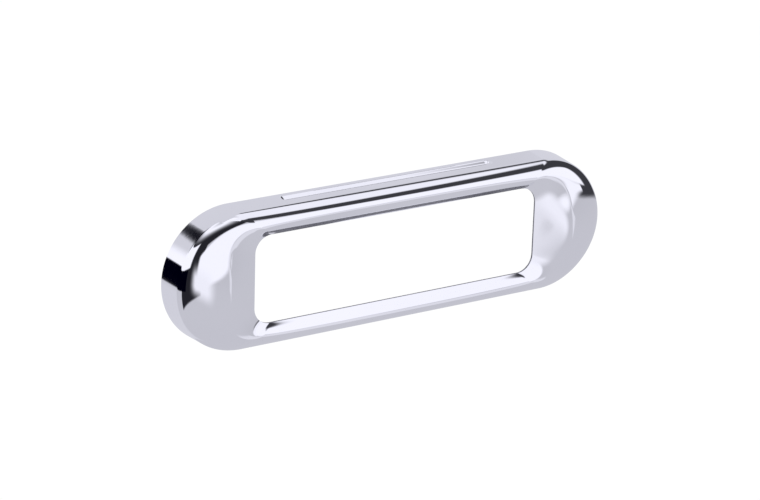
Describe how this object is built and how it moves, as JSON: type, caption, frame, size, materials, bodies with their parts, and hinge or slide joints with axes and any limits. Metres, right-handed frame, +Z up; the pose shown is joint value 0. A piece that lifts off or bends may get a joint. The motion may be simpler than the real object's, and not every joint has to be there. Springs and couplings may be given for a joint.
{
  "type": "letter plate",
  "caption": "Outside unit of a letter plate: stadium-shaped polished surround, domed front, wide mail opening, and a sprung inward flap hinged behind the top rail.",
  "frame": {"origin": "on the rear rim that meets the door face, in the middle of its lower run", "axes": "+X along the plate to the right seen from outside, +Y into the door, +Z up"},
  "size_m": [0.264, 0.0681, 0.0764],
  "materials": {
    "chrome_plate": "mirror polish",
    "black_nylon": "fine moulded texture",
    "grey_foam": "closed-cell foam",
    "satin_aluminium": "satin, brushed lengthways",
    "plated_steel": "bright zinc plate",
    "spring_steel": "drawn wire",
    "post_brass": "turned",
    "black_rubber": "matt",
    "white_acetal": "moulded"
  },
  "bodies": {
    "plate": {"outer_frame": "chrome_plate", "carrier": "black_nylon", "rear_gasket": "grey_foam", "hinge_pin": "plated_steel", "hinge_bush_left": "white_acetal", "hinge_bush_right": "white_acetal", "pin_clip_left": "plated_steel", "pin_clip_right": "plated_steel", "flap_spring_left": "spring_steel", "flap_spring_right": "spring_steel", "fixing_post_left": "post_brass", "fixing_post_right": "post_brass", "post_washer_left": "plated_steel", "post_washer_right": "plated_steel", "carrier_screw_upper_left": "plated_steel", "carrier_screw_upper_right": "plated_steel", "carrier_screw_lower_left": "plated_steel", "carrier_screw_lower_right": "plated_steel"},
    "flap": {"flap": "satin_aluminium", "flap_seal": "black_rubber", "bump_stop_left": "black_rubber", "bump_stop_right": "black_rubber"}
  },
  "joints": [
    {"name": "flap_hinge", "type": "hinge", "parent": "plate", "child": "flap", "pos_m": [0, -0.011, 0.0658], "axis": [1, 0, 0], "range_deg": [-67, 18], "deforming": ["flap_spring_left", "flap_spring_right"]}
  ]
}
